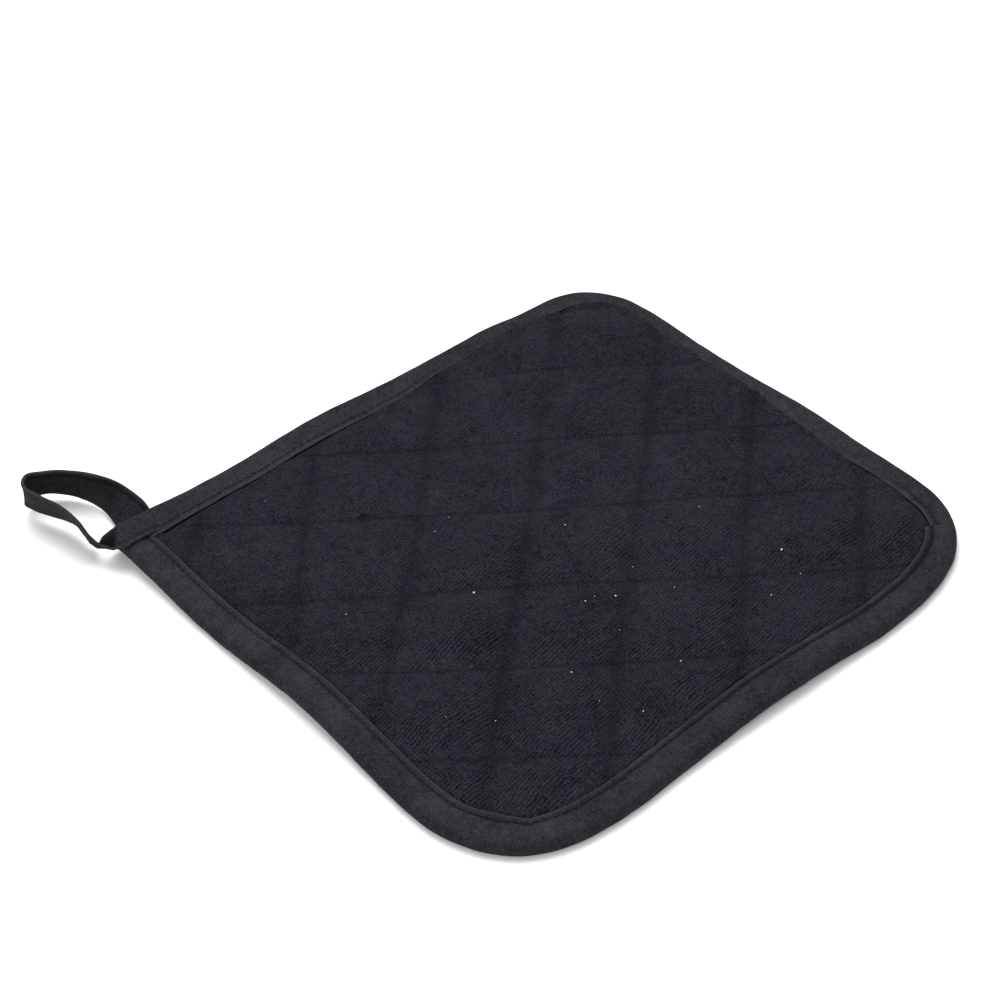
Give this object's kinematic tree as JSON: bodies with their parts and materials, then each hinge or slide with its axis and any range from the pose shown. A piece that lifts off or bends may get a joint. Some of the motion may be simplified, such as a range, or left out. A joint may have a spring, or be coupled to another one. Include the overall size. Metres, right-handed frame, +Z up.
{
  "type": "quilted pot holder",
  "caption": "Square black terry pot holder, diamond-quilted, with a bias-tape edge and a standing hanging loop at its square corner.",
  "frame": {"origin": "middle of the square on the surface it rests on", "axes": "+Z up out of the surface; the square's sides run along X and Y; the hanging loop is at the -X +Y corner"},
  "size_m": [0.2127, 0.2369, 0.0159],
  "materials": {
    "black_terry": "cut and looped cotton terry, matt",
    "black_tape": "plain woven cotton bias tape, matt",
    "black_ribbon": "the same tape folded flat, matt"
  },
  "bodies": {
    "root": {"quilted_pad": "black_terry", "edge_binding": "black_tape", "hanging_loop": "black_ribbon"}
  },
  "joints": []
}
